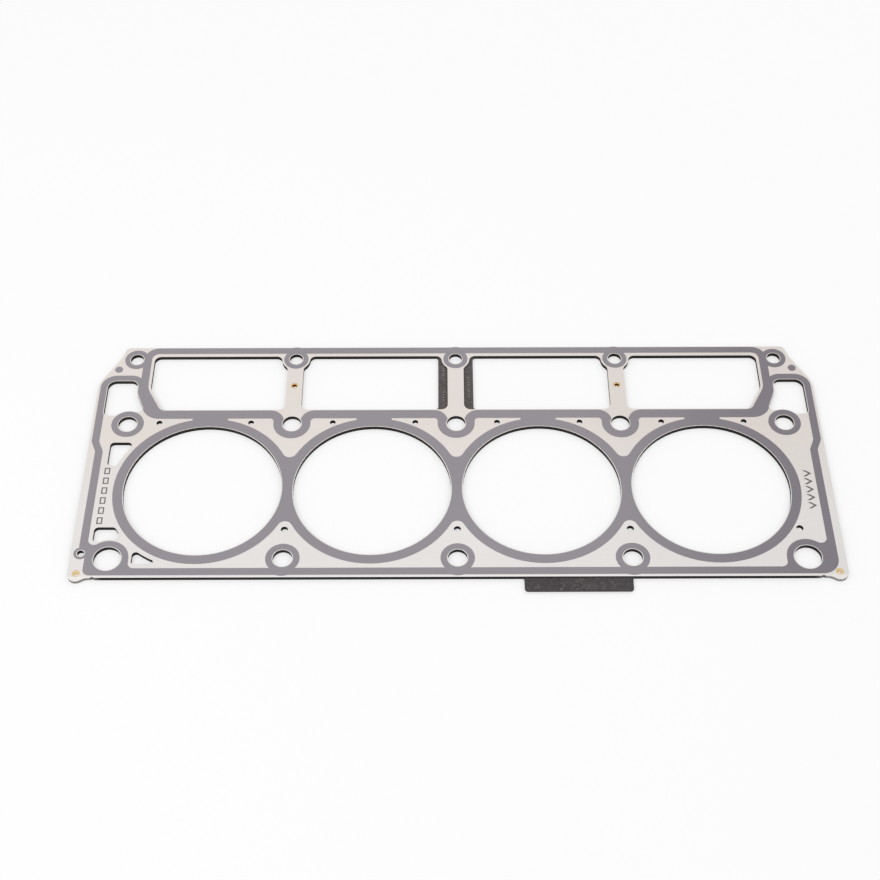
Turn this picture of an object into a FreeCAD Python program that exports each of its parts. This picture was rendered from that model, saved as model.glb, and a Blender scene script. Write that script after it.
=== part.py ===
import FreeCAD, Part
import math
import os

from FreeCAD import Vector

os.makedirs("parts", exist_ok=True)

# Cylinder head gasket of layered steel for one bank of four cylinders, unclamped.
# Millimetres. X runs along the bank towards the engine's front, Y towards the valley side,
# Z up towards the cylinder head. The origin is the middle of the bore line on the deck face.

# Bores
bore_count = 4
bore_radius = 52.07
bore_land = 7.62

# Layer stack, from the deck upwards: facing sheet, spacer, facing sheet, printed seal.
# A facing sheet's height counts its pressed bead, which keeps it off the spacer until it is clamped.
facing_height = 1.0
spacer_thickness = 1.0
print_thickness = 0.1

# Head bolts, dowels and valley bolts
bolt_row_y = 54.75
bolt_hole_radius = 6.3
dowel_hole_radius = 8.8
valley_row_y = 112.5
valley_hole_radius = 4.55

# Steam and oil holes
steam_radius = 2.0
steam_y = 55.6
steam_offset = 27.8
steam_offset_rear = 21.6
low_steam_radius = 2.35
low_steam_y = -32.7
low_steam_offset_front = 2.2
oil_hole_radius = 2.25
oil_hole_out = 17.48
oil_hole_y = -50.6

# Outer edge of the sheets
side_out = 23.98
top_y = 123.3
bottom_y = -69.15
shoulder_y = 90.7
shoulder_round = 18.0
waist_out = 10.88
waist_y = 113.7
waist_round = 6.0
crown_out = 7.98
crown_round = 3.2
valley_boss_radius = 11.25
ear_radius = 5.7
ear_cove = 8.0
notch_radius = 1.7
notch_depth = 0.65
notch_inset = 16.1

# Eyelets that hold the layers together
ear_eyelet_out = 18.28
ear_eyelet_y = -66.0
rib_eyelet_y = 88.3
eyelet_bore_radius = 1.4
eyelet_wall = 0.35
eyelet_flange_radius = 2.5
eyelet_flange_thickness = 0.2
eyelet_clearance = 0.05
eyelet_sink = 0.05

# Flat sides that stand in for a round edge on the smallest repeated rounds
eyelet_sides = 12
hole_sides = 16

# Windows between the upper bolts and the valley bolts
window_bottom_y = 66.9
window_top_y = 115.1
rib_half_width = 5.6
valley_lobe_radius = 9.8
window_round = 4.0
window_foot_round = 4.5
end_window_in = 12.32
end_window_round = 4.7
end_bend_y = 85.6
end_bend_round = 14.0
end_foot_in = 22.42

# Coolant openings beyond the end windows
coolant_outer_out = 17.58
coolant_inner_in = 3.12
coolant_toe_in = 11.12
coolant_top_y = 92.95
coolant_bottom_y = 62.3
coolant_bend_y = 82.3
coolant_bend_round = 12.0
coolant_outer_round = 6.0
coolant_inner_round = 5.0
coolant_foot_round = 3.2
coolant_ring_gap = 0.3

# Three small coolant openings at the rear end, which follow the rearmost bore
small_opening_gap = 9.75
drop_gap = 10.15
slot_out = 9.48
slot_bottom_y = 19.0
slot_top_y = 38.9
slot_round = 2.8
dee_out = 11.18
dee_in = 4.92
dee_top_y = -30.5
dee_dowel_gap = 5.9
dee_round = 2.9
drop_in = 15.42
drop_bottom_y = -58.8
drop_round = 1.5
drop_top_round = 2.5

# Spacer layer: the tab on the exhaust side and the wings beside the middle rib
tab_rear_in = 69.76
tab_front_in = 0.96
tab_end_y = -79.4
tab_round = 2.2
wing_half_width = 12.1
wing_round = 3.0

# Printed seal
rim = 0.55
bore_band = 6.93
web_cove = 4.8
bolt_band = 4.7
valley_band = 3.95
oil_band = 2.25
lone_dot_out = 11.68
lone_dot_y = 103.4
lone_dot_radius = 2.8
low_strip_bottom_y = -67.35
low_strip_top_y = -62.15
low_bulge_radius = 13.3
high_strip_bottom_y = 117.8
high_strip_top_y = 122.95
high_bulge_radius = 10.9
rail_bottom_y = 59.35
rail_top_y = 66.3
cup_radius = 12.6
cup_corner = 2.6
bridge_half_width = 12.0
frame_outer_in = 4.77
frame_inner_in = 10.32
frame_outer_round = 10.3
frame_inner_round = 5.0
frame_bend_y = 86.2
frame_bend_round = 16.0
frame_foot_in = 21.02
frame_foot_round = 6.0
frame_heel_in = 12.32
frame_heel_round = 13.0
surround_out = 22.48
surround_top_y = 97.9
surround_in = 8.52
surround_round = 10.5
strip_width = 5.15
strip_low_out = 19.03
jog_top_y = 39.8
jog_bottom_y = 31.6
jog_round = 5.0
dowel_band = 4.8
pad_rear_out = 14.48
pad_rear_round = 4.4
pad_front_round = 11.0
pad_cove = 4.0

# Derived positions. Bores stand a land apart.
# "out" sizes are beyond the end column of bolts, "in" sizes short of it.
bore_pitch = 2 * bore_radius + bore_land
columns = [bore_pitch * (i - bore_count / 2) for i in range(bore_count + 1)]
inner_columns = columns[1:-1]
bores = [x + bore_pitch / 2 for x in columns[:-1]]
rear_x = columns[0]
front_x = columns[-1]
side_x = front_x + side_out
waist_x = front_x + waist_out
crown_x = front_x + crown_out
ear_eyelet_x = front_x + ear_eyelet_out
oil_hole_x = rear_x - oil_hole_out
end_window_x = front_x - end_window_in
end_foot_x = front_x - end_foot_in
coolant_outer_x = front_x + coolant_outer_out
coolant_inner_x = front_x - coolant_inner_in
coolant_toe_x = front_x - coolant_toe_in
slot_outer_x = rear_x - slot_out
dee_outer_x = rear_x - dee_out
dee_inner_x = rear_x + dee_in
drop_outer_x = rear_x + drop_in
tab_left_x = inner_columns[-1] - tab_rear_in
tab_right_x = inner_columns[-1] - tab_front_in
lone_dot_x = front_x + lone_dot_out
frame_outer_x = front_x - frame_outer_in
frame_inner_x = front_x - frame_inner_in
frame_foot_x = front_x - frame_foot_in
frame_heel_x = front_x - frame_heel_in
surround_x = front_x + surround_out
surround_inner_x = front_x - surround_in
strip_low_x = front_x + strip_low_out
pad_rear_x = front_x + pad_rear_out
stack_height = 2 * facing_height + spacer_thickness


def disc(x, y, radius):
    """Round face centred on x, y."""
    return Part.Face(Part.Wire(Part.makeCircle(radius, Vector(x, y, 0))))


def polygon(x, y, radius, sides):
    """Face with equal flat sides, for a small round hole or piece."""
    angles = [2 * math.pi * i / sides for i in range(sides)]
    points = [Vector(x + radius * math.cos(a), y + radius * math.sin(a), 0) for a in angles]
    return Part.Face(Part.makePolygon(points + points[:1]))


def box(x1, y1, x2, y2):
    """Rectangular face between two corners."""
    return Part.makePlane(abs(x2 - x1), abs(y2 - y1), Vector(min(x1, x2), min(y1, y2), 0))


def outline(corners):
    """Face of a polygon of (x, y, radius) corners, each rounded by an arc that meets both sides."""
    starts = []
    edges = []
    ends = []
    for i, (x, y, radius) in enumerate(corners):
        corner = Vector(x, y, 0)
        back = Vector(corners[i - 1][0], corners[i - 1][1], 0) - corner
        ahead = Vector(*corners[(i + 1) % len(corners)][:2], 0) - corner
        back.normalize()
        ahead.normalize()
        half = back.getAngle(ahead) / 2
        start = corner + back * (radius / math.tan(half))
        end = corner + ahead * (radius / math.tan(half))
        if radius > 0:
            inward = back + ahead
            inward.normalize()
            middle = corner + inward * (radius / math.sin(half) - radius)
            edges.append(Part.Arc(start, middle, end).toShape())
        starts.append(start)
        ends.append(end)
    for i, end in enumerate(ends):
        edges.append(Part.makeLine(end, starts[(i + 1) % len(starts)]))
    return Part.Face(Part.Wire(Part.__sortEdges__(edges)))


def joined(shapes):
    """Flat shapes fused into as few faces as they make, all facing up."""
    faces = [face for shape in shapes for face in shape.Faces]
    faces = [face if face.normalAt(0, 0).z > 0 else face.reversed() for face in faces]
    return Part.makeShell(faces[0].fuse(faces[1:]).Faces).removeSplitter()


def only_face(shape):
    """The largest face of a flat shape."""
    return max(shape.Faces, key=lambda face: face.Area)


def round_points(face, radius):
    """Rounds the outward corners: the face is shrunk by the radius and grown back."""
    return face.makeOffset2D(-radius).makeOffset2D(radius)


def round_crooks(face, radius):
    """Rounds the inward corners: the face is grown by the radius and shrunk back."""
    return face.makeOffset2D(radius).makeOffset2D(-radius)


def both_ends(face):
    """A face at the rear end and its mirror image at the front end."""
    return [face, face.mirror(Vector(0, 0, 0), Vector(1, 0, 0))]


def slab(shape, bottom_z, thickness):
    """Flat shape raised to a height and given a thickness."""
    solids = []
    for face in shape.Faces:
        face = face.translated(Vector(0, 0, bottom_z))
        solids.append(face.extrude(Vector(0, 0, thickness)))
    return solids[0] if len(solids) == 1 else Part.makeCompound(solids)


def end_window():
    """Window next to the rear end: its outer side bends inwards to the foot."""
    face = outline([
        (-end_window_x, window_top_y, end_window_round),
        (-end_window_x, end_bend_y, end_bend_round),
        (-end_foot_x, window_bottom_y, window_foot_round),
        (columns[1] - rib_half_width, window_bottom_y, window_foot_round),
        (columns[1] - rib_half_width, window_top_y, 0),
    ])
    face = face.cut(disc(columns[1], valley_row_y, valley_lobe_radius))
    return round_points(only_face(face), window_round)


def inner_window(right_half_width, lobe_radius, corner_round):
    """Window between the second column and the middle one, whose rib may be widened by wings."""
    left_x = columns[1] + rib_half_width
    right_x = columns[2] - right_half_width
    face = outline([
        (left_x, window_bottom_y, window_foot_round),
        (right_x, window_bottom_y, corner_round),
        (right_x, window_top_y, 0),
        (left_x, window_top_y, 0),
    ])
    face = face.cut([
        disc(columns[1], valley_row_y, valley_lobe_radius),
        disc(columns[2], valley_row_y, lobe_radius),
    ])
    return round_points(only_face(face), min(window_round, corner_round))


def coolant_window():
    """Coolant opening at the rear end: it narrows upwards and clears the bolt's sealing ring."""
    face = outline([
        (-coolant_outer_x, coolant_top_y, coolant_outer_round),
        (-coolant_outer_x, coolant_bottom_y, 0),
        (-coolant_toe_x, coolant_bottom_y, 0),
        (-coolant_inner_x, coolant_bend_y, coolant_bend_round),
        (-coolant_inner_x, coolant_top_y, coolant_inner_round),
    ])
    ring = disc(rear_x, bolt_row_y, bolt_hole_radius + bolt_band + coolant_ring_gap)
    return round_points(only_face(face.cut(ring)), coolant_foot_round)


def small_openings():
    """The slanted slot, the D-shaped opening and the drop that follow the rearmost bore."""
    bore_side = disc(bores[0], 0, bore_radius + small_opening_gap)
    dowel_side = disc(rear_x, -bolt_row_y, dowel_hole_radius + dee_dowel_gap)
    slot = box(slot_outer_x, slot_bottom_y, rear_x + 10, slot_top_y).cut(bore_side)
    dee = box(dee_outer_x, -bolt_row_y, dee_inner_x, dee_top_y).cut([bore_side, dowel_side])
    drop = box(drop_outer_x, drop_bottom_y, bores[0], -bolt_row_y + 9)
    drop = drop.cut(disc(bores[0], 0, bore_radius + drop_gap))
    drop = round_points(only_face(drop), drop_round)
    return [
        round_points(only_face(slot), slot_round),
        round_points(only_face(dee), dee_round),
        only_face(drop.cut(drop_shoulder())),
    ]


def drop_shoulder():
    """What is left of the drop's top corner outside an arc that meets its side and its bore edge."""
    bore_edge = bore_radius + drop_gap
    x = drop_outer_x + drop_top_round
    across = bores[0] - x
    y = -math.sqrt((bore_edge + drop_top_round) ** 2 - across ** 2)
    share = drop_top_round / (bore_edge + drop_top_round)
    touch_x = x + across * share
    touch_y = y - y * share
    corner = outline([
        (drop_outer_x - 1, y, 0),
        (x, y, 0),
        (touch_x, touch_y, 0),
        (touch_x, 0, 0),
        (drop_outer_x - 1, 0, 0),
    ])
    return corner.cut(disc(x, y, drop_top_round))


def round_holes():
    """Bores, bolt and dowel holes, and the small steam and oil holes."""
    holes = [disc(x, 0, bore_radius) for x in bores]
    for x in columns:
        end = x in (rear_x, front_x)
        holes.append(disc(x, bolt_row_y, bolt_hole_radius))
        holes.append(disc(x, -bolt_row_y, dowel_hole_radius if end else bolt_hole_radius))
        holes.append(disc(x, valley_row_y, valley_hole_radius))
    for x in inner_columns:
        holes.append(polygon(x - steam_offset, steam_y, steam_radius, hole_sides))
        holes.append(polygon(x + steam_offset, steam_y, steam_radius, hole_sides))
        holes.append(polygon(x, low_steam_y, low_steam_radius, hole_sides))
    holes.append(polygon(rear_x + steam_offset_rear, steam_y, steam_radius, hole_sides))
    holes.append(polygon(front_x - steam_offset, steam_y, steam_radius, hole_sides))
    low_front_x = front_x - low_steam_offset_front
    holes.append(polygon(low_front_x, low_steam_y, low_steam_radius, hole_sides))
    holes.append(polygon(oil_hole_x, oil_hole_y, oil_hole_radius, hole_sides))
    return holes


def eyelet_places():
    """Centres of the four eyelets: one in each lower ear and one on each outer rib."""
    ears = [(-ear_eyelet_x, ear_eyelet_y), (ear_eyelet_x, ear_eyelet_y)]
    ribs = [(inner_columns[0], rib_eyelet_y), (inner_columns[-1], rib_eyelet_y)]
    return ears + ribs


def body_outline():
    """Outer edge shared by all sheets: cut upper corners, lower ears and valley bolt bosses."""
    half = [
        (side_x, bottom_y, 0),
        (side_x, shoulder_y, shoulder_round),
        (waist_x, waist_y, waist_round),
        (crown_x, top_y, crown_round),
    ]
    body = outline(half + [(-x, y, r) for x, y, r in reversed(half)])
    bosses = [disc(x, valley_row_y, valley_boss_radius) for x in inner_columns]
    ears = [disc(x, ear_eyelet_y, ear_radius) for x in (-ear_eyelet_x, ear_eyelet_x)]
    below = [box(x, bottom_y, x / abs(x) * side_x, ear_eyelet_y) for x in (-ear_eyelet_x, ear_eyelet_x)]
    body = body.cut(below)
    return only_face(joined([body] + bosses + ears + ear_coves()))


def ear_coves():
    """Hollow curves that lead from each ear into the bottom edge."""
    centre_y = bottom_y - ear_cove
    reach = math.sqrt((ear_radius + ear_cove) ** 2 - (ear_eyelet_y - centre_y) ** 2)
    centre_x = reach - ear_eyelet_x
    wedge = outline([
        (-ear_eyelet_x, ear_eyelet_y, 0),
        (centre_x, centre_y, 0),
        (centre_x, ear_eyelet_y, 0),
    ])
    return both_ends(wedge.cut(disc(centre_x, centre_y, ear_cove)))


def notches():
    """Shallow round notches in the bottom edge beside the ears."""
    y = bottom_y + notch_depth - notch_radius
    return [disc(x, y, notch_radius) for x in (notch_inset - side_x, side_x - notch_inset)]


def web_bands():
    """Bands round the bores, joined at the webs with rounded crooks."""
    bands = joined([disc(x, 0, bore_radius + bore_band) for x in bores])
    return round_crooks(only_face(bands), web_cove)


def upper_rail():
    """Rail under the windows, with a cup below each upper bolt hole that is open to the rib."""
    centre_y = rail_bottom_y - cup_corner
    corner_x = cup_radius + cup_corner
    throat_round = rail_top_y - centre_y
    rail = box(-end_foot_x, rail_bottom_y, end_foot_x, rail_top_y)
    cups = []
    throats = []
    for x in inner_columns:
        low = disc(x, bolt_row_y, cup_radius)
        neck = box(x - cup_radius, bolt_row_y, x + cup_radius, centre_y)
        shoulders = box(x - corner_x, centre_y, x + corner_x, rail_top_y)
        corners = [disc(x + side * corner_x, centre_y, cup_corner) for side in (-1, 1)]
        cups += [low, neck, shoulders.cut(corners)]
        sides = [disc(x + side * corner_x, centre_y, throat_round) for side in (-1, 1)]
        throats.append(box(x - corner_x, centre_y, x + corner_x, rail_top_y).cut(sides))
    return joined([rail] + cups).cut(throats)


def bridges():
    """Solid print above each bore, where the bore band and the rail run together."""
    return [box(x - bridge_half_width, bore_radius + rim, x + bridge_half_width, rail_top_y) for x in bores]


def end_frame():
    """Band that turns from the top strip down past the coolant opening into the rail."""
    return outline([
        (-frame_outer_x, high_strip_top_y, frame_outer_round),
        (-frame_outer_x, coolant_top_y, 0),
        (-coolant_inner_x - rim, coolant_bend_y, 0),
        (-frame_heel_x, rail_bottom_y, frame_heel_round),
        (-end_foot_x + 4, rail_bottom_y, 0),
        (-end_foot_x + 4, rail_top_y, 0),
        (-frame_foot_x, rail_top_y, frame_foot_round),
        (-frame_inner_x, frame_bend_y, frame_bend_round),
        (-frame_inner_x, high_strip_bottom_y, frame_inner_round),
        (-frame_inner_x + 6, high_strip_bottom_y, 0),
        (-frame_inner_x + 6, high_strip_top_y, 0),
    ])


def coolant_surround():
    """Print over the coolant opening."""
    return outline([
        (-surround_x, coolant_bend_y, 0),
        (-surround_inner_x, coolant_bend_y, 0),
        (-surround_inner_x, surround_top_y, surround_round),
        (-surround_x, surround_top_y, surround_round),
    ])


def side_strip():
    """Strip down the rear end, with a jog between the bolt and the outer bore."""
    low_y = -bolt_row_y + dowel_hole_radius
    return outline([
        (-surround_x, coolant_bend_y, 0),
        (-surround_x, jog_top_y, jog_round),
        (-strip_low_x, jog_bottom_y, jog_round),
        (-strip_low_x, low_y, 0),
        (-strip_low_x + strip_width, low_y, 0),
        (-strip_low_x + strip_width, jog_bottom_y, jog_round),
        (-surround_x + strip_width, jog_top_y, jog_round),
        (-surround_x + strip_width, coolant_bend_y, 0),
    ])


def low_print():
    """Strip along the bottom edge, rings of the lower bolts and pads of the dowels."""
    ring = dowel_hole_radius + dowel_band
    pad_top_y = -bolt_row_y + dowel_hole_radius
    faces = [box(-pad_rear_x + 8, low_strip_bottom_y, pad_rear_x - 8, low_strip_top_y)]
    for x in (rear_x, front_x):
        below = box(x - ring, low_strip_bottom_y, x + ring, -bolt_row_y - ring)
        faces.append(disc(x, -bolt_row_y, ring).cut(below))
        faces.append(box(x, -bolt_row_y, x - x / abs(x) * ring, low_strip_bottom_y))
    faces.append(outline([
        (-pad_rear_x, pad_top_y, 0),
        (-pad_rear_x, low_strip_bottom_y, pad_rear_round),
        (rear_x, low_strip_bottom_y, 0),
        (rear_x, pad_top_y, 0),
    ]))
    faces.append(outline([
        (strip_low_x, pad_top_y, 0),
        (strip_low_x, low_strip_bottom_y, pad_front_round),
        (front_x, low_strip_bottom_y, 0),
        (front_x, pad_top_y, 0),
    ]))
    faces += both_ends(side_strip())
    low = round_crooks(only_face(joined(faces)), pad_cove)
    rings = [disc(x, -bolt_row_y, bolt_hole_radius + bolt_band) for x in inner_columns]
    bulges = []
    for x in inner_columns:
        bulge = disc(x, -bolt_row_y, low_bulge_radius)
        bulges.append(bulge.common(box(x - 20, bottom_y, x + 20, low_strip_bottom_y + 1)))
    oil = disc(oil_hole_x, oil_hole_y, oil_hole_radius + oil_band)
    return [low, oil] + rings + bulges


def high_print():
    """Strip along the top edge and rings of the valley bolts."""
    strip_end = frame_inner_x - frame_inner_round
    faces = [box(-strip_end, high_strip_bottom_y, strip_end, high_strip_top_y)]
    faces += [disc(x, valley_row_y, valley_hole_radius + valley_band) for x in columns]
    for x in inner_columns:
        bulge = disc(x, valley_row_y, high_bulge_radius)
        faces.append(bulge.common(box(x - 20, high_strip_top_y - 1, x + 20, top_y + 1)))
    return faces


def seal_network(windows):
    """The joined pattern of printed bands, kept a rim back from every hole."""
    faces = [web_bands(), only_face(upper_rail())] + bridges() + high_print() + low_print()
    faces += both_ends(end_frame()) + both_ends(coolant_surround())
    network = joined(faces)
    holes = [disc(x, 0, bore_radius + rim) for x in bores]
    for x in columns:
        end = x in (rear_x, front_x)
        holes.append(disc(x, bolt_row_y, bolt_hole_radius + rim))
        holes.append(disc(x, -bolt_row_y, (dowel_hole_radius if end else bolt_hole_radius) + rim))
        holes.append(disc(x, valley_row_y, valley_hole_radius + rim))
    holes.append(disc(oil_hole_x, oil_hole_y, oil_hole_radius + rim))
    holes += [window.makeOffset2D(rim) for window in windows]
    return network.cut(holes)


def lone_prints():
    """Printed rings of the upper end bolts, and the dots beside the end valley bolts."""
    rings = []
    for x in (rear_x, front_x):
        ring = disc(x, bolt_row_y, bolt_hole_radius + bolt_band)
        rings.append(ring.cut(disc(x, bolt_row_y, bolt_hole_radius + rim)))
    dots = [polygon(x, lone_dot_y, lone_dot_radius, hole_sides) for x in (-lone_dot_x, lone_dot_x)]
    return rings, dots


def spacer_tab():
    """Tab that stands out of the stack on the exhaust side."""
    tab = outline([
        (tab_left_x, bottom_y + 1, 0),
        (tab_left_x, tab_end_y, tab_round),
        (tab_right_x, tab_end_y, tab_round),
        (tab_right_x, bottom_y + 1, 0),
    ])
    foot = box(tab_left_x - 8, bottom_y, tab_right_x + 8, bottom_y + 4)
    return round_crooks(only_face(joined([foot, tab])), tab_round)


def prism(x, y, radius, bottom_z, top_z):
    """Upright piece of an eyelet between two heights."""
    return slab(polygon(x, y, radius, eyelet_sides), bottom_z, top_z - bottom_z)


def eyelet(x, y):
    """Tubular eyelet with a flange at each end, just below the outer faces of the stack."""
    low_z = eyelet_sink
    low_inner_z = low_z + eyelet_flange_thickness
    high_z = stack_height - eyelet_sink
    high_inner_z = high_z - eyelet_flange_thickness
    low_flange = prism(x, y, eyelet_flange_radius, low_z, low_inner_z)
    barrel = prism(x, y, eyelet_bore_radius + eyelet_wall, low_inner_z, high_inner_z)
    high_flange = prism(x, y, eyelet_flange_radius, high_inner_z, high_z)
    return low_flange.fuse([barrel, high_flange]).cut(prism(x, y, eyelet_bore_radius, low_z, high_z))


def eyelet_seats(x, y):
    """Room for an eyelet: a hole for its barrel and a dished seat for each flange."""
    depth = eyelet_sink + eyelet_flange_thickness
    seat_radius = eyelet_flange_radius + eyelet_clearance
    return [
        prism(x, y, eyelet_bore_radius + eyelet_wall + eyelet_clearance, 0, stack_height),
        prism(x, y, seat_radius, 0, depth),
        prism(x, y, seat_radius, stack_height - depth, stack_height),
    ]


def save(shape, node):
    """Writes one node and prints how many solids it holds."""
    print(node, len(shape.Solids), round(shape.Volume, 2), shape.isValid())
    shape.exportStep("parts/" + node + ".step")


coolant = both_ends(coolant_window())
windows = both_ends(inner_window(rib_half_width, valley_lobe_radius, window_foot_round))
winged_windows = both_ends(inner_window(wing_half_width, valley_lobe_radius, wing_round))
openings = round_holes() + small_openings() + coolant + both_ends(end_window())

body = body_outline()
sheet = only_face(body.cut(openings + windows + notches()))
spacer_only = [spacer_tab().cut(body)] + [face.cut(winged) for face, winged in zip(windows, winged_windows)]
spacer_only += [notch.common(body) for notch in notches()]
stack = slab(sheet, 0, stack_height)
stack = stack.fuse([slab(face, facing_height, spacer_thickness) for face in spacer_only])
stack = stack.cut([seat for x, y in eyelet_places() for seat in eyelet_seats(x, y)])
save(stack.removeSplitter(), "sheet_stack")

rings, dots = lone_prints()
save(slab(seal_network(coolant), stack_height, print_thickness), "seal_print")
save(slab(Part.makeCompound(rings), stack_height, print_thickness), "bolt_ring_prints")
save(slab(Part.makeCompound(dots), stack_height, print_thickness), "dot_prints")

save(Part.makeCompound([eyelet(x, y) for x, y in eyelet_places()]), "eyelets")
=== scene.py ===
import math

import bmesh
import bpy
import numpy as np
from mathutils import Euler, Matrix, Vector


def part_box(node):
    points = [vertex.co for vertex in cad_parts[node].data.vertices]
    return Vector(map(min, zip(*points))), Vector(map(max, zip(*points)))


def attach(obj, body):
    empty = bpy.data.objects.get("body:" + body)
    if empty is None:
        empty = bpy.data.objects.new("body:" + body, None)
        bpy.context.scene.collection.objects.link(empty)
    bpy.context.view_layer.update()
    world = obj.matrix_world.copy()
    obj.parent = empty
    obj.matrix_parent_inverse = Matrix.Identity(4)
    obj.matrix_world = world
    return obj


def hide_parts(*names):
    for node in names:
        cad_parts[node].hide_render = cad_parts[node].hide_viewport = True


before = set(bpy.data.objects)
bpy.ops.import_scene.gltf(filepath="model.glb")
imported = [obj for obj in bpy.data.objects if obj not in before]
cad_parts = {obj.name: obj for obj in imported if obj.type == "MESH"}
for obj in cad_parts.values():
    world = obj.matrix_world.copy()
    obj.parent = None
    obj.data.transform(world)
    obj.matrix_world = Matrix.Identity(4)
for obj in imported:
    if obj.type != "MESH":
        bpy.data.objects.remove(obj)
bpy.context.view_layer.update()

MM = 0.001

# Heights of the stack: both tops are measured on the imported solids, and the spacer is the
# middle third
STACK_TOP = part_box("sheet_stack")[1][2]
PRINT_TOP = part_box("seal_print")[1][2]
SPACER_LOW = 1.0 * MM
SPACER_HIGH = 2.0 * MM

# Slack in height for telling the spacer's own faces from the outer sheets'
SPACER_SLACK = 0.1 * MM

# The underside's print is thinner than the upper one, so that the gasket lies almost flat
UNDER_PRINT = 0.05 * MM

# Height of every etched or punched mark over the sheet that it stands on
MARK_HEIGHT = 0.02 * MM

# Plan sizes that the surface effects and the eyelets follow
BORE_PITCH = 111.76 * MM
BORE_RADIUS = 52.07 * MM
EAR_X = 241.8 * MM
EAR_Y = -66.0 * MM
RIB_X = 111.76 * MM
RIB_EYELET_Y = 88.3 * MM

# Eyelet section: a barrel with a lip rolled over at both ends, lying in the stack's seats. The
# throat flares over the given share of the way from the lip to the middle.
BARREL_INNER = 1.4 * MM
BARREL_OUTER = 1.75 * MM
THROAT_RADIUS = 1.6 * MM
THROAT_FLARE = 0.4
LIP_RADIUS = 2.5 * MM
LIP_SEAT = 2.75 * MM
LIP_RISE = 0.28 * MM
LIP_POINTS = 11
THROAT_POINTS = 7
EYELET_SIDES = 36

# Width of the soft change from the barrel's colour to the lip's
THROAT_BLEND = 0.12 * MM

# Bright sheets: warmer towards the back, painted a little darker towards the right end as shade in
# the reflection, and a painted highlight along the front edge, where it is rolled over and catches
# the light
WARM_FROM, WARM_TO = -30 * MM, 70 * MM
RIGHT_SHADE_FROM, RIGHT_SHADE_TO = -20 * MM, 240 * MM
RIGHT_END_SHADE = 0.92
EDGE_HIGHLIGHT_FROM, EDGE_HIGHLIGHT_TO = -67.6 * MM, -68.8 * MM
EDGE_HIGHLIGHT_GAIN = 0.09

# Cut edges: half the height of the spacer's band, the height of each outer sheet's band, and how
# far from an ear's eyelet the sheets are pressed shut. Between the bands the edge is painted near
# black, partly the dark coated edges and partly painted shadow of gaps between the sheets; near the
# ears all but the spacer's band is painted pale steel instead
SPACER_BAND = 0.4 * MM
OUTER_BAND = 0.25 * MM
SHUT_REACH = 17 * MM

# Print: painted a little darker towards the right end, as shade
PRINT_SHADE_FROM, PRINT_SHADE_TO = 60 * MM, 240 * MM

# Pressed bead under the print: where it starts, is full, falls off and ends, beyond the bore's
# edge, and the height of its bump
BEAD_START, BEAD_FULL, BEAD_FALL, BEAD_END = 1.0 * MM, 2.4 * MM, 3.4 * MM, 4.8 * MM
BEAD_BUMP = 0.12 * MM

# Camera of the photograph: a 64 mm lens on a 36 mm square sensor, looking down at 52 degrees
CAMERA_PLACE = (-0.01194, -0.60789, 0.83605)
CAMERA_TURN = (37.886, 0.062, -0.160)
CAMERA_LENS = 64.0
CAMERA_SENSOR = 36.0

# Studio: half the floor's side in metres, its paint, and the share of plain white in it as the
# camera sees it, which leaves the gasket a soft shadow
FLOOR_HALF = 6.0
FLOOR_PAINT = (0.99, 0.99, 0.99, 1.0)
FLOOR_GLOW = 0.55

# Light that the white sky gives to the surfaces; the camera and the reflections see it at full
# strength
SKY_LIGHT = 0.72

# Lamps: name, place in metres, turn in degrees, width in metres, power in watts
LAMPS = (
    ("key_lamp", (-0.9, -0.6, 1.6), (30, -28, 0), 1.4, 9.0),
    ("fill_lamp", (1.0, 0.8, 1.4), (-25, 32, 0), 1.6, 4.0),
)


def linear(r, g, b):
    """Colour written as 0 to 255 screen values, turned into linear light."""
    out = []
    for value in (r, g, b):
        v = value / 255
        out.append(v / 12.92 if v <= 0.04045 else ((v + 0.055) / 1.055) ** 2.4)
    return (*out, 1.0)


STEEL_COOL = linear(231, 227, 225)
STEEL_WARM = linear(228, 220, 214)
EDGE_STEEL = linear(196, 190, 188)
TAB_DARK = linear(74, 70, 71)
WING_DARK = linear(90, 84, 83)
RUBBED_GREY = linear(138, 132, 130)
# Near black of the cut edges: partly their dark coating, partly painted shadow of the gaps between
# the sheets
DARK_EDGE_AND_GAP_SHADOW = linear(9, 8, 8)
SPACER_EDGE = linear(50, 47, 47)
OUTER_EDGE = linear(64, 60, 59)
PRINT_GREY = linear(149, 144, 150)
# Print's colour at the right end, darker as painted shade
PRINT_SHADED = linear(128, 123, 130)
MARK_GREY = linear(112, 107, 107)
TAB_MARK = linear(104, 99, 99)
WING_MARK = linear(150, 144, 141)
THROAT_GOLD = linear(240, 196, 118)
LIP_GOLD = linear(233, 213, 180)
BARREL_BROWN = linear(150, 92, 30)
# Ear barrels painted pale: painted light for the bright floor seen through the hole
EAR_BARREL_PAINTED_LIGHT = linear(255, 240, 204)


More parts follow.
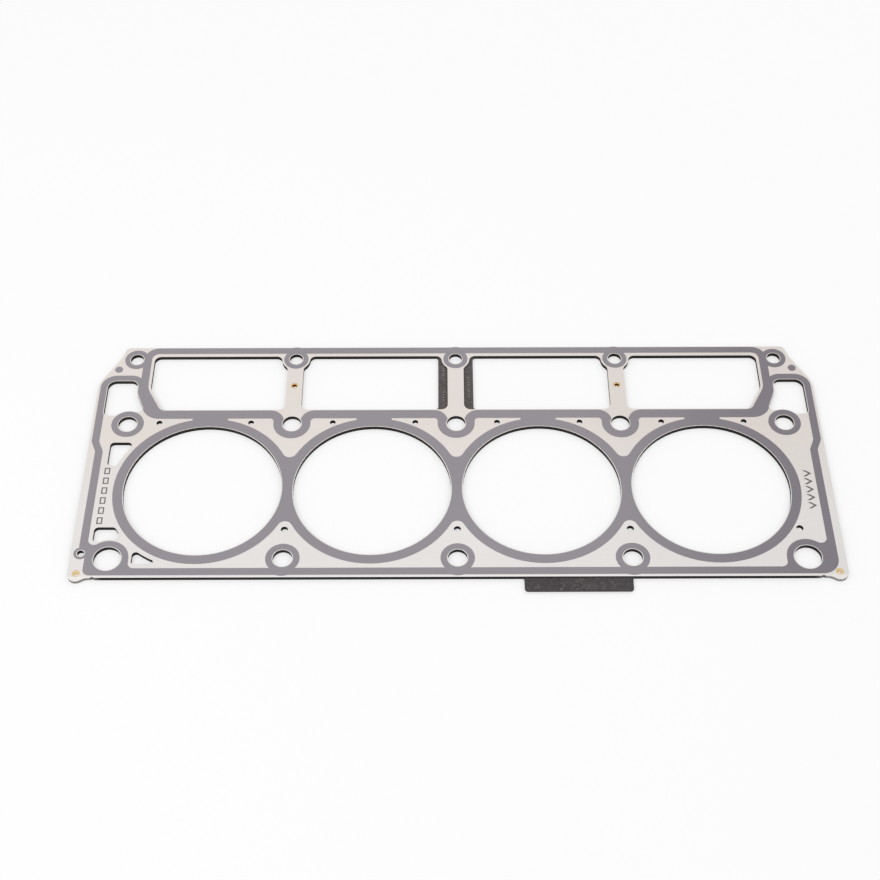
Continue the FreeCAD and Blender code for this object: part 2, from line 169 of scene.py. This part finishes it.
class Graph:
    """Short way to add and join nodes in one material, world or group."""

    def __init__(self, tree):
        self.tree = tree
        tree.nodes.clear()

    def add(self, kind, inputs=None, **settings):
        """New node with its settings; an input is a value, or a socket to join to it."""
        node = self.tree.nodes.new(kind)
        for name, value in settings.items():
            setattr(node, name, value)
        for key, value in (inputs or {}).items():
            self.feed(node.inputs[key], value)
        return node

    def feed(self, socket, value):
        """Joins a socket to an input, or gives the input a plain value."""
        if isinstance(value, bpy.types.NodeSocket):
            self.tree.links.new(value, socket)
        else:
            socket.default_value = value

    def place(self):
        """Place on the surface, in the object's own coordinates."""
        return self.add("ShaderNodeTexCoord").outputs["Object"]

    def split(self, vector):
        """The X, Y and Z of a vector."""
        return self.add("ShaderNodeSeparateXYZ", {0: vector}).outputs

    def math(self, operation, a, b=0.0, clamp=False):
        """Result of one sum on two values."""
        node = self.add("ShaderNodeMath", {0: a, 1: b}, operation=operation, use_clamp=clamp)
        return node.outputs[0]

    def plan_length(self, across, along):
        """Length in plan of a way that goes across in X and along in Y."""
        flat = self.add("ShaderNodeCombineXYZ", {0: across, 1: along}).outputs[0]
        node = self.add("ShaderNodeVectorMath", {0: flat}, operation="LENGTH")
        return node.outputs["Value"]

    def ramp(self, value, low, high, to_low=0.0, to_high=1.0):
        """Smooth change from to_low to to_high while value goes from low to high."""
        node = self.add("ShaderNodeMapRange", {0: value, 1: low, 2: high, 3: to_low, 4: to_high},
                        interpolation_type="SMOOTHSTEP")
        return node.outputs[0]

    def stretch(self, place, scale, turn=(0.0, 0.0, 0.0)):
        """Place scaled, then turned; noise read there is drawn out along the least scaled axis."""
        inputs = {"Vector": place, "Rotation": turn, "Scale": scale}
        return self.add("ShaderNodeMapping", inputs).outputs[0]

    def noise(self, place, scale, detail, roughness=0.5):
        """Noise that changes over the surface, mostly between 0.3 and 0.7."""
        inputs = {"Vector": place, "Scale": scale, "Detail": detail, "Roughness": roughness}
        return self.add("ShaderNodeTexNoise", inputs).outputs[0]

    def blend(self, share, a, b):
        """Colour between a and b."""
        node = self.add("ShaderNodeMix", data_type="RGBA")
        self.feed(node.inputs[0], share)
        self.feed(node.inputs[6], a)
        self.feed(node.inputs[7], b)
        return node.outputs[2]

    def shade(self, colour, tone):
        """Colour times a tone, where 1 changes nothing."""
        node = self.add("ShaderNodeVectorMath", {0: colour, 1: tone}, operation="MULTIPLY")
        return node.outputs[0]

    def use(self, tree, inputs):
        """Outputs of one copy of a group, with its values."""
        node = self.add("ShaderNodeGroup")
        node.node_tree = tree
        for label, value in inputs.items():
            self.feed(node.inputs[label], value)
        return node.outputs


def effect_group(name, inputs, outputs, build):
    """Shader node group with named sockets; build gets its graph and inputs, and returns its
    outputs."""
    tree = bpy.data.node_groups.new(name, "ShaderNodeTree")
    kinds = {"value": "NodeSocketFloat", "colour": "NodeSocketColor", "vector": "NodeSocketVector"}
    for label, kind, default in inputs:
        socket = tree.interface.new_socket(label, in_out="INPUT", socket_type=kinds[kind])
        if default is not None:
            socket.default_value = default
    for label, kind in outputs:
        tree.interface.new_socket(label, in_out="OUTPUT", socket_type=kinds[kind])
    graph = Graph(tree)
    entry = graph.add("NodeGroupInput")
    leave = graph.add("NodeGroupOutput")
    for socket, value in zip(leave.inputs, build(graph, entry.outputs)):
        graph.feed(socket, value)
    return tree


def cloudy(graph, inputs):
    """Soft light and dark patches, and fine streaks along the rolling direction X."""
    patches = graph.noise(inputs["Place"], 14.0, 3.0)
    stretched = graph.stretch(inputs["Place"], (6.0, 420.0, 60.0))
    streaks = graph.noise(stretched, 6.0, 4.0, 0.6)
    soft = graph.math("MULTIPLY", graph.math("SUBTRACT", patches, 0.5), inputs["Patches"])
    fine = graph.math("MULTIPLY", graph.math("SUBTRACT", streaks, 0.5), inputs["Streaks"])
    both = graph.math("ADD", soft, fine)
    return graph.shade(inputs["Colour"], graph.math("ADD", both, 1.0)), both


def scuffed(graph, inputs):
    """Pale rubbed spots and short scratches along X, as a mask from 0 to 1."""
    spots = graph.noise(inputs["Place"], 260.0, 5.0, 0.7)
    stretched = graph.stretch(inputs["Place"], (60.0, 700.0, 60.0), (0.0, 0.0, 0.6))
    scratches = graph.noise(stretched, 3.0, 2.0)
    marked = graph.math("MAXIMUM", graph.ramp(spots, 0.55, 0.75), graph.ramp(scratches, 0.64, 0.72))
    return (graph.math("MULTIPLY", marked, inputs["Amount"], clamp=True),)


def ear_nearness(graph, inputs):
    """1 at the eyelet of either lower ear, falling to 0 at the given reach."""
    place = graph.split(inputs["Place"])
    across = graph.math("SUBTRACT", graph.math("ABSOLUTE", place["X"]), EAR_X)
    along = graph.math("SUBTRACT", place["Y"], EAR_Y)
    share = graph.math("DIVIDE", graph.plan_length(across, along), inputs["Reach"])
    return (graph.ramp(share, 0.45, 1.0, 1.0, 0.0),)


def eyelet_distance(graph, inputs):
    """Distance in metres to the nearest eyelet's centre line, with both ends of the gasket folded
    together."""
    place = graph.split(inputs["Place"])
    side = graph.math("ABSOLUTE", place["X"])
    ways = []
    for x, y in ((EAR_X, EAR_Y), (RIB_X, RIB_EYELET_Y)):
        across = graph.math("SUBTRACT", side, x)
        along = graph.math("SUBTRACT", place["Y"], y)
        ways.append(graph.plan_length(across, along))
    return (graph.math("MINIMUM", *ways),)


def bore_bead(graph, inputs):
    """Height of the pressed bead round each bore, from 0 to 1, by the distance to the nearest
    bore's centre."""
    place = graph.split(inputs["Place"])
    folded = graph.math("FLOORED_MODULO", place["X"], BORE_PITCH)
    away = graph.plan_length(graph.math("SUBTRACT", folded, BORE_PITCH / 2), place["Y"])
    rise = graph.ramp(away, BORE_RADIUS + BEAD_START, BORE_RADIUS + BEAD_FULL)
    fall = graph.ramp(away, BORE_RADIUS + BEAD_FALL, BORE_RADIUS + BEAD_END, 1.0, 0.0)
    return (graph.math("MULTIPLY", rise, fall),)


PLACE_INPUT = ("Place", "vector", None)
CLOUDY = effect_group("rolled_sheet_tone",
                      [PLACE_INPUT, ("Colour", "colour", (0.5, 0.5, 0.5, 1.0)),
                       ("Patches", "value", 0.1), ("Streaks", "value", 0.1)],
                      [("Colour", "colour"), ("Shade", "value")], cloudy)
SCUFFED = effect_group("rubbed_spots",
                       [PLACE_INPUT, ("Amount", "value", 0.5)],
                       [("Mask", "value")], scuffed)
EAR_NEARNESS = effect_group("near_an_ear",
                            [PLACE_INPUT, ("Reach", "value", 0.02)],
                            [("Mask", "value")], ear_nearness)
EYELET_DISTANCE = effect_group("distance_to_an_eyelet", [PLACE_INPUT],
                               [("Distance", "value")], eyelet_distance)
BORE_BEAD = effect_group("bead_round_the_bores", [PLACE_INPUT], [("Height", "value")], bore_bead)


def new_material(name, roughness=0.5, specular=0.5):
    """Material with one Principled shader; returns it, its graph and its shader."""
    material = bpy.data.materials.new(name)
    material.use_nodes = True
    graph = Graph(material.node_tree)
    out = graph.add("ShaderNodeOutputMaterial")
    shader = graph.add("ShaderNodeBsdfPrincipled")
    graph.feed(out.inputs["Surface"], shader.outputs["BSDF"])
    shader.inputs["Roughness"].default_value = roughness
    shader.inputs["Specular IOR Level"].default_value = specular
    return material, graph, shader


def stack_material():
    """Bright outer sheets with painted shade towards the right end and a painted highlight at the
    front edge, a dark spacer where it stands out, and painted shadow in the gaps between the dark
    cut edges."""
    material, graph, shader = new_material("layered_sheet_steel", specular=0.15)
    coords = graph.add("ShaderNodeTexCoord").outputs
    place = coords["Object"]
    along = graph.split(place)
    facing = graph.split(coords["Normal"])["Z"]
    flat = graph.ramp(graph.math("ABSOLUTE", facing), 0.4, 0.6)
    above = graph.math("GREATER_THAN", along["Z"], SPACER_LOW - SPACER_SLACK)
    below = graph.math("LESS_THAN", along["Z"], SPACER_HIGH + SPACER_SLACK)
    at_spacer = graph.math("MULTIPLY", above, below)

    # Upper and lower faces
    tint = graph.blend(graph.ramp(along["Y"], WARM_FROM, WARM_TO), STEEL_COOL, STEEL_WARM)
    # Painted shade: the sheet a little darker towards the right end, where it reflects less light
    tone = graph.ramp(along["X"], RIGHT_SHADE_FROM, RIGHT_SHADE_TO, 1.0, RIGHT_END_SHADE)
    # Painted highlight: paler along the front edge, where it is rolled over and catches the light
    painted_edge_highlight = graph.ramp(along["Y"], EDGE_HIGHLIGHT_FROM, EDGE_HIGHLIGHT_TO, 0.0, EDGE_HIGHLIGHT_GAIN)
    tint_with_painted_light = graph.shade(tint, graph.math("ADD", tone, painted_edge_highlight))
    steel = {"Place": place, "Colour": tint_with_painted_light, "Patches": 0.10, "Streaks": 0.06}
    bright_face = graph.use(CLOUDY, steel)

    # The spacer's own faces, at the tab in front and the wings behind
    at_wings = graph.math("GREATER_THAN", along["Y"], 0.0)
    dark_tint = graph.blend(at_wings, TAB_DARK, WING_DARK)
    dark = graph.use(CLOUDY, {"Place": place, "Colour": dark_tint, "Patches": 0.5, "Streaks": 0.3})
    rubbed = graph.use(SCUFFED, {"Place": place, "Amount": 0.55})
    pitted = graph.ramp(graph.noise(place, 640.0, 3.0, 0.6), 0.32, 0.68, 0.78, 1.2)
    dark_face = graph.shade(graph.blend(rubbed["Mask"], dark["Colour"], RUBBED_GREY), pitted)
    faces = graph.blend(at_spacer, bright_face["Colour"], dark_face)

    # Cut edges: dark coated bands, with painted gap shadow between them
    from_middle = graph.math("ABSOLUTE", graph.math("SUBTRACT", along["Z"], STACK_TOP / 2))
    in_spacer = graph.math("LESS_THAN", from_middle, SPACER_BAND)
    in_outer = graph.math("GREATER_THAN", from_middle, STACK_TOP / 2 - OUTER_BAND)
    bands = graph.blend(in_outer, graph.blend(in_spacer, DARK_EDGE_AND_GAP_SHADOW, SPACER_EDGE), OUTER_EDGE)
    cut = graph.use(CLOUDY, {"Place": place, "Colour": bands, "Patches": 0.8, "Streaks": 0.5})
    near_ear = graph.use(EAR_NEARNESS, {"Place": place, "Reach": SHUT_REACH})["Mask"]
    shut = graph.math("MULTIPLY", near_ear, graph.math("SUBTRACT", 1.0, in_spacer))
    edges = graph.blend(shut, cut["Colour"], EDGE_STEEL)
    graph.feed(shader.inputs["Base Color"], graph.blend(flat, edges, faces))

    bright = graph.math("MULTIPLY", flat, graph.math("SUBTRACT", 1.0, at_spacer))
    graph.feed(shader.inputs["Metallic"], graph.math("MULTIPLY", bright, 0.9))
    rough = graph.ramp(bright, 0.0, 1.0, 0.62, 0.38)
    uneven = graph.math("MULTIPLY", bright_face["Shade"], 0.6)
    graph.feed(shader.inputs["Roughness"], graph.math("ADD", rough, uneven))
    return material


def print_material():
    """Grey silicone print: matt, with hardly any change of tone but painted shade towards the right
    end, and the bead as a faint bump."""
    material, graph, shader = new_material("grey_printed_seal", roughness=0.7, specular=0.3)
    place = graph.place()
    print_shade = graph.ramp(graph.split(place)["X"], PRINT_SHADE_FROM, PRINT_SHADE_TO)
    tint = graph.blend(print_shade, PRINT_GREY, PRINT_SHADED)
    tone = graph.use(CLOUDY, {"Place": place, "Colour": tint, "Patches": 0.12, "Streaks": 0.05})
    graph.feed(shader.inputs["Base Color"], tone["Colour"])
    bead = graph.use(BORE_BEAD, {"Place": place})["Height"]
    relief = graph.math("ADD", bead, graph.math("MULTIPLY", graph.noise(place, 900.0, 2.0), 0.06))
    bump = graph.add("ShaderNodeBump", {"Strength": 1.0, "Distance": BEAD_BUMP, "Height": relief})
    graph.feed(shader.inputs["Normal"], bump.outputs[0])
    return material


def eyelet_material():
    """Golden plated eyelet: pale lips, a deeper tone at the throat, and a barrel that is brown at
    the ribs and painted pale and matt at the ears, as painted light for the bright floor seen
    through the hole."""
    material, graph, shader = new_material("golden_eyelet", roughness=0.3)
    place = graph.place()
    away = graph.use(EYELET_DISTANCE, {"Place": place})["Distance"]
    on_lip = graph.ramp(away, THROAT_RADIUS - THROAT_BLEND, THROAT_RADIUS)
    lip = graph.blend(graph.ramp(away, THROAT_RADIUS, LIP_RADIUS), THROAT_GOLD, LIP_GOLD)
    in_ribs = graph.math("GREATER_THAN", graph.split(place)["Y"], 0.0)
    # At the ears the barrel is painted pale and left matt, as painted light for the bright floor
    # seen through the hole; at the ribs it is brown and shiny
    barrel = graph.blend(in_ribs, EAR_BARREL_PAINTED_LIGHT, BARREL_BROWN)
    gold = graph.blend(on_lip, barrel, lip)
    tone = graph.use(CLOUDY, {"Place": place, "Colour": gold, "Patches": 0.3, "Streaks": 0.1})
    graph.feed(shader.inputs["Base Color"], tone["Colour"])
    shiny = graph.math("MAXIMUM", on_lip, in_ribs)
    graph.feed(shader.inputs["Metallic"], graph.math("MULTIPLY", shiny, 0.9))
    return material


def etched_material():
    """Thin dark grey marks etched in the bright sheet."""
    material, graph, shader = new_material("etched_mark_grey", roughness=0.6, specular=0.3)
    inputs = {"Place": graph.place(), "Colour": MARK_GREY, "Patches": 0.3, "Streaks": 0.2}
    graph.feed(shader.inputs["Base Color"], graph.use(CLOUDY, inputs)["Colour"])
    return material


def punched_material():
    """Faint paler marks on the dark spacer, half rubbed away."""
    material, graph, shader = new_material("faint_punched_mark", roughness=0.6, specular=0.2)
    place = graph.place()
    at_wings = graph.math("GREATER_THAN", graph.split(place)["Y"], 0.0)
    ground = graph.blend(at_wings, TAB_DARK, WING_DARK)
    mark = graph.blend(at_wings, TAB_MARK, WING_MARK)
    kept = graph.ramp(graph.noise(place, 420.0, 3.0), 0.35, 0.65, 0.35, 1.0)
    graph.feed(shader.inputs["Base Color"], graph.blend(kept, ground, mark))
    return material


def dress(node, material):
    """Gives a CAD node its material in every slot."""
    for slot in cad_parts[node].material_slots:
        slot.material = material


def make_piece(name, points, faces, material):
    """New mesh piece from arrays, riding on the gasket."""
    mesh = bpy.data.meshes.new(name)
    mesh.from_pydata(np.asarray(points).tolist(), [], faces)
    mesh.update()
    mesh.materials.append(material)
    piece = bpy.data.objects.new(name, mesh)
    bpy.context.scene.collection.objects.link(piece)
    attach(piece, "root")
    return piece


def turned(places, profile, sides):
    """Rings turned from one closed profile of radius r and height z, one ring at each place: its
    points are place + (r cos a, r sin a) and z, at every angle a = 2 pi i / sides. Four-cornered
    faces join them along the profile and round the ring."""
    places = np.asarray(places)
    radius, height = np.asarray(profile).T
    count, n = len(places), len(radius)
    angle = np.arange(sides) * 2 * np.pi / sides
    points = np.zeros((count, sides, n, 3))
    points[..., 0] = places[:, 0, None, None] + np.cos(angle)[:, None] * radius
    points[..., 1] = places[:, 1, None, None] + np.sin(angle)[:, None] * radius
    points[..., 2] = height
    index = np.arange(count * sides * n).reshape(count, sides, n)
    ahead = np.roll(index, -1, axis=1)
    corners = [index, ahead, np.roll(ahead, -1, axis=2), np.roll(index, -1, axis=2)]
    quads = np.stack(corners, axis=-1)
    return points.reshape(-1, 3), quads.reshape(-1, 4).tolist()


def eyelet_profile():
    """Closed section of an eyelet. Its upper half goes up the barrel's outside, over the lip's
    half ellipse and down a throat whose radius falls with the square of the way. The lower half
    mirrors it."""
    middle = STACK_TOP / 2
    round_lip = np.linspace(0.0, np.pi, LIP_POINTS)
    lip_middle = (LIP_RADIUS + THROAT_RADIUS) / 2
    lip = np.column_stack([lip_middle + (LIP_RADIUS - THROAT_RADIUS) / 2 * np.cos(round_lip),
                           LIP_SEAT + LIP_RISE * np.sin(round_lip)])
    way = np.linspace(0.0, 1.0, THROAT_POINTS)[1:]
    throat = np.column_stack([BARREL_INNER + (THROAT_RADIUS - BARREL_INNER) * (1 - way) ** 2,
                              LIP_SEAT - way * (LIP_SEAT - middle) * THROAT_FLARE])
    upper = np.vstack([[(BARREL_OUTER, LIP_SEAT)], lip, throat])
    lower = upper[::-1] * (1, -1) + (0, 2 * middle)
    return np.vstack([upper, lower])


def plates(outlines, low, high):
    """Flat plates from equal outlines: each outline is copied at the low and the high height,
    and joined by a wall of four-cornered faces, with the outline itself as lid and floor."""
    outlines = np.asarray(outlines, float)
    count, n, _ = outlines.shape
    points = np.zeros((count, 2, n, 3))
    points[:, :, :, :2] = outlines[:, None]
    points[:, 0, :, 2] = low
    points[:, 1, :, 2] = high
    ahead = np.roll(np.arange(n), -1)
    faces = []
    for k in range(count):
        floor = k * 2 * n + np.arange(n)
        lid = floor + n
        walls = np.column_stack([floor, floor[ahead], lid[ahead], lid])
        faces += [floor[::-1].tolist(), lid.tolist()] + walls.tolist()
    return points.reshape(-1, 3), faces


def add_marks(name, outlines, ground, material):
    """Low plates of one height on the sheet whose top face is at the height ground."""
    points, faces = plates(outlines, ground, ground + MARK_HEIGHT)
    make_piece(name, points, faces, material)


def arrowheads(places, length, width, stroke):
    """Open arrowheads that point to +X, one at each place: a V-shaped stroke of six corners,
    whose arms are stroke times the length wide along X."""
    shape = np.array([
        (0.5 - stroke, 0.0), (-0.5, -0.5), (-0.5 + stroke, -0.5),
        (0.5, 0.0), (-0.5 + stroke, 0.5), (-0.5, 0.5),
    ]) * (length, width)
    return shape + np.asarray(places)[:, None, :]


def bars(places, length, width):
    """Level bars with their length along X, one at each place."""
    shape = np.array([(-0.5, -0.5), (0.5, -0.5), (0.5, 0.5), (-0.5, 0.5)]) * (length, width)
    return shape + np.asarray(places)[:, None, :]


def open_boxes(places, length, width, stroke):
    """Small open boxes, one at each place, each of four bars of one stroke: two across the whole
    width, and two between them."""
    half_x = (length - stroke) / 2
    half_y = (width - stroke) / 2
    places = np.asarray(places)
    outer = [bars(places + (side * half_x, 0.0), stroke, width) for side in (-1, 1)]
    inner = [bars(places + (0.0, side * half_y), length - 2 * stroke, stroke) for side in (-1, 1)]
    return np.vstack(outer + inner)


def column(x, first_y, last_y, count):
    """Evenly spaced places on a line along Y."""
    return np.column_stack([np.full(count, x), np.linspace(first_y, last_y, count)])


def underside_copy(node, name, material):
    """The upper print's mesh turned to the underside: each height h above the stack's top face
    becomes the depth h * UNDER_PRINT / (PRINT_TOP - STACK_TOP) below its bottom face, and every
    face is turned round to point outwards."""
    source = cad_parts[node].data
    points = np.zeros(len(source.vertices) * 3, np.float32)
    source.vertices.foreach_get("co", points)
    points = points.reshape(-1, 3).astype(float)
    share = (points[:, 2] - STACK_TOP) / (PRINT_TOP - STACK_TOP)
    points[:, 2] = -share * UNDER_PRINT
    corners = np.zeros(len(source.loops), np.int32)
    source.loops.foreach_get("vertex_index", corners)
    faces = corners.reshape(-1, 3)[:, ::-1].tolist()
    piece = make_piece(name, points, faces, material)
    merged = bmesh.new()
    merged.from_mesh(piece.data)
    bmesh.ops.remove_doubles(merged, verts=merged.verts, dist=0.001 * MM)
    merged.to_mesh(piece.data)
    merged.free()


def add_eyelets(material):
    """Turned eyelets with rolled lips in the ears and the outer ribs, in place of the plain
    ones."""
    places = [(-EAR_X, EAR_Y), (EAR_X, EAR_Y), (-RIB_X, RIB_EYELET_Y), (RIB_X, RIB_EYELET_Y)]
    points, faces = turned(places, eyelet_profile(), EYELET_SIDES)
    rolled = make_piece("rolled_eyelets", points, faces, material)
    rolled.data.shade_smooth()
    rolled.data.set_sharp_from_angle(angle=math.radians(50))
    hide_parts("eyelets")


steel = stack_material()
seal = print_material()
etched = etched_material()
punched = punched_material()

dress("sheet_stack", steel)
for node in ("seal_print", "bolt_ring_prints", "dot_prints"):
    dress(node, seal)
    underside_copy(node, "under_" + node, seal)
add_eyelets(eyelet_material())

# Marks etched in the upper sheet, at its right and its left end
arrow_places = column(232.3 * MM, -14.6 * MM, 11.4 * MM, 5)
arrows = arrowheads(arrow_places, length=6.0 * MM, width=5.0 * MM, stroke=0.36)
add_marks("front_arrow_marks", arrows, STACK_TOP, etched)
box_places = column(-232.2 * MM, 15.0 * MM, -25.2 * MM, 6)
boxes = open_boxes(box_places, length=3.8 * MM, width=5.3 * MM, stroke=0.85 * MM)
add_marks("side_box_marks", boxes, STACK_TOP, etched)

# Marks punched in the spacer, on its wings and its tab
wing_places = np.vstack([
    column(-8.6 * MM, 94.0 * MM, 107.0 * MM, 7),
    column(-8.6 * MM, 76.0 * MM, 83.0 * MM, 4),
    column(8.9 * MM, 79.0 * MM, 96.0 * MM, 9),
])
punches = bars(wing_places, length=1.5 * MM, width=0.7 * MM)
add_marks("wing_punch_marks", punches, SPACER_HIGH, punched)
tab_places = np.column_stack([np.linspace(66.0, 98.0, 6) * MM, np.full(6, -75.4 * MM)])
arrows = arrowheads(tab_places, length=4.0 * MM, width=4.4 * MM, stroke=0.22)
add_marks("tab_arrow_marks", arrows, SPACER_HIGH, punched)


def stand(name, data, place, turn):
    """Puts a lamp or a camera in the scene, with its turn in degrees."""
    holder = bpy.data.objects.new(name, data)
    holder.location = place
    holder.rotation_euler = Euler([math.radians(a) for a in turn])
    bpy.context.scene.collection.objects.link(holder)
    return holder


def white_floor():
    """Pale floor under the gasket, which keeps its shadow."""
    far, low = FLOOR_HALF, -UNDER_PRINT
    corners = [(-far, -far, low), (far, -far, low), (far, far, low), (-far, far, low)]
    mesh = bpy.data.meshes.new("studio_floor")
    mesh.from_pydata(corners, [], [(0, 1, 2, 3)])
    floor = bpy.data.objects.new("studio_floor", mesh)
    bpy.context.scene.collection.objects.link(floor)
    material, graph, shader = new_material("pale_floor", roughness=0.9, specular=0.0)
    shader.inputs["Base Color"].default_value = FLOOR_PAINT
    glow = graph.add("ShaderNodeEmission", {"Color": (1.0, 1.0, 1.0, 1.0), "Strength": 1.0})
    seen = graph.add("ShaderNodeLightPath").outputs["Is Camera Ray"]
    shown = graph.add("ShaderNodeMixShader", {0: graph.math("MULTIPLY", seen, FLOOR_GLOW)})
    graph.feed(shown.inputs[1], shader.outputs["BSDF"])
    graph.feed(shown.inputs[2], glow.outputs["Emission"])
    graph.feed(graph.tree.nodes["Material Output"].inputs["Surface"], shown.outputs[0])
    mesh.materials.append(material)


def white_sky():
    """White background, which lights the surfaces a little less than it shows."""
    world = bpy.data.worlds.new("studio_sky")
    bpy.context.scene.world = world
    world.use_nodes = True
    graph = Graph(world.node_tree)
    out = graph.add("ShaderNodeOutputWorld")
    path = graph.add("ShaderNodeLightPath")
    seen = graph.math("MAXIMUM", path.outputs["Is Camera Ray"], path.outputs["Is Glossy Ray"])
    seen = graph.math("MAXIMUM", seen, path.outputs["Is Transmission Ray"])
    strength = graph.ramp(seen, 0.0, 1.0, SKY_LIGHT, 1.0)
    sky = graph.add("ShaderNodeBackground", {"Color": (1.0, 1.0, 1.0, 1.0), "Strength": strength})
    graph.feed(out.inputs["Surface"], sky.outputs[0])


def soft_lamps():
    """Soft round lamps, left out of the reflections."""
    for name, place, turn, width, power in LAMPS:
        lamp = bpy.data.lights.new(name, "AREA")
        lamp.shape = "DISK"
        lamp.size = width
        lamp.energy = power
        stand(name, lamp, place, turn).visible_glossy = False


def photo_camera():
    """The photograph's camera."""
    camera = bpy.data.cameras.new("photo_camera")
    camera.lens = CAMERA_LENS
    camera.sensor_width = CAMERA_SENSOR
    camera.clip_start = 0.01
    bpy.context.scene.camera = stand("photo_camera", camera, CAMERA_PLACE, CAMERA_TURN)


white_floor()
white_sky()
soft_lamps()
photo_camera()
bpy.context.scene.view_settings.view_transform = "Standard"
